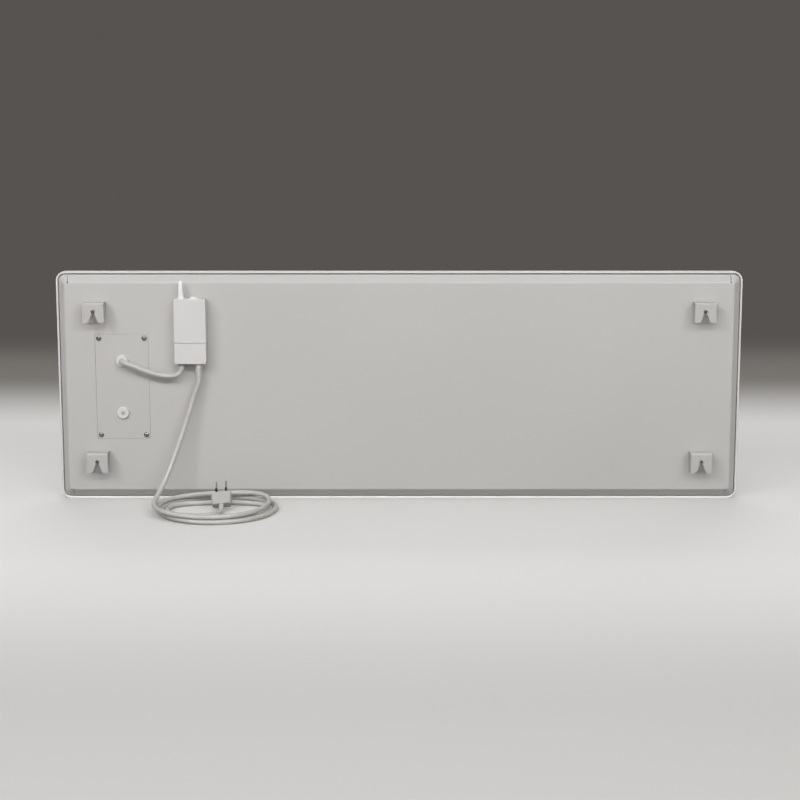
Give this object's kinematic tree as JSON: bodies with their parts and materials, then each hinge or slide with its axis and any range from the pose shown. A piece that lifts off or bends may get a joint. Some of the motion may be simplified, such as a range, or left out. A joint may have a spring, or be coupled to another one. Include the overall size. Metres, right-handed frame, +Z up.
{
  "type": "infrared panel heater",
  "caption": "Slim infrared panel heater with folded steel cover, keyhole wall brackets, service plate, radio receiver box, link cord and loosely coiled mains lead with a flat-pin plug.",
  "frame": {"origin": "under the middle of the panel, on the surface that its lower edge stands on, half way between the front face and the brackets' wall faces", "axes": "+X along the panel, to the right when its wall side is looked at; +Y out of the warm front face into the room; +Z up"},
  "size_m": [0.905, 0.1715, 0.305],
  "materials": {
    "powder_coated_steel": "fine satin powder coat",
    "zinc_plated_steel": "bright zinc plate",
    "white_nylon": "moulded nylon",
    "abs_housing": "fine moulded texture",
    "button_plastic": "moulded",
    "led_plastic": "translucent",
    "pvc_cord": "matt PVC sheath",
    "plug_plastic": "moulded PVC",
    "black_sleeve": "moulded",
    "carbon_film": "laminated",
    "copper": "rolled",
    "mica": "pressed",
    "mineral_wool": "pressed fibre",
    "aluminium_foil": "rolled",
    "foam": "closed cell",
    "silicone": "cured bead",
    "ceramic": "fired",
    "phenolic": "moulded",
    "lead_insulation": "silicone",
    "circuit_laminate": "glass epoxy",
    "component_plastic": "moulded"
  },
  "bodies": {
    "panel": {"front_panel": "powder_coated_steel", "rear_cover": "powder_coated_steel", "service_plate": "powder_coated_steel", "bracket_top_left": "powder_coated_steel", "bracket_top_right": "powder_coated_steel", "bracket_bottom_left": "powder_coated_steel", "bracket_bottom_right": "powder_coated_steel", "service_frame": "zinc_plated_steel", "service_screws": "zinc_plated_steel", "service_nuts": "zinc_plated_steel", "bracket_rivets": "zinc_plated_steel", "earth_stud": "zinc_plated_steel", "terminal_screws": "zinc_plated_steel", "receiver_terminal_screws": "zinc_plated_steel", "receiver_screws": "zinc_plated_steel", "plug_blades": "zinc_plated_steel", "cable_gland": "white_nylon", "spare_gland": "white_nylon", "gland_nuts": "white_nylon", "blanking_plug": "white_nylon", "receiver_base": "abs_housing", "receiver_cover": "abs_housing", "receiver_terminal_cover": "abs_housing", "receiver_antenna": "abs_housing", "button_ring": "abs_housing", "receiver_cord_clamp": "abs_housing", "led_lens": "led_plastic", "link_cord": "pvc_cord", "mains_cord": "pvc_cord", "mains_cord_coil": "pvc_cord", "fixed_cord_ends": "pvc_cord", "mains_strain_relief": "pvc_cord", "link_grommet": "pvc_cord", "plug_body": "plug_plastic", "blade_sleeves": "black_sleeve", "heating_film": "carbon_film", "bus_bars": "copper", "mica_sheet": "mica", "insulation_board": "mineral_wool", "reflective_foil": "aluminium_foil", "spacer_pads": "foam", "service_gasket": "foam", "receiver_pad": "foam", "terminal_pad": "foam", "perimeter_sealant": "silicone", "terminal_block": "ceramic", "thermal_cutout": "phenolic", "tact_switch": "phenolic", "lead_to_limiter": "lead_insulation", "lead_to_upper_bar": "lead_insulation", "lead_to_lower_bar": "lead_insulation", "lead_to_earth": "lead_insulation", "circuit_board": "circuit_laminate", "power_relay": "component_plastic", "power_module": "component_plastic", "capacitor": "component_plastic", "fuse": "component_plastic", "receiver_terminals": "component_plastic"},
    "button": {"receiver_button": "button_plastic"}
  },
  "joints": [
    {"name": "button_press", "type": "slide", "parent": "panel", "child": "button", "axis": [0, 0, -1], "range_m": [0, 0.0008], "stiffness_N_per_m": 500, "springref_m": -0.001}
  ]
}
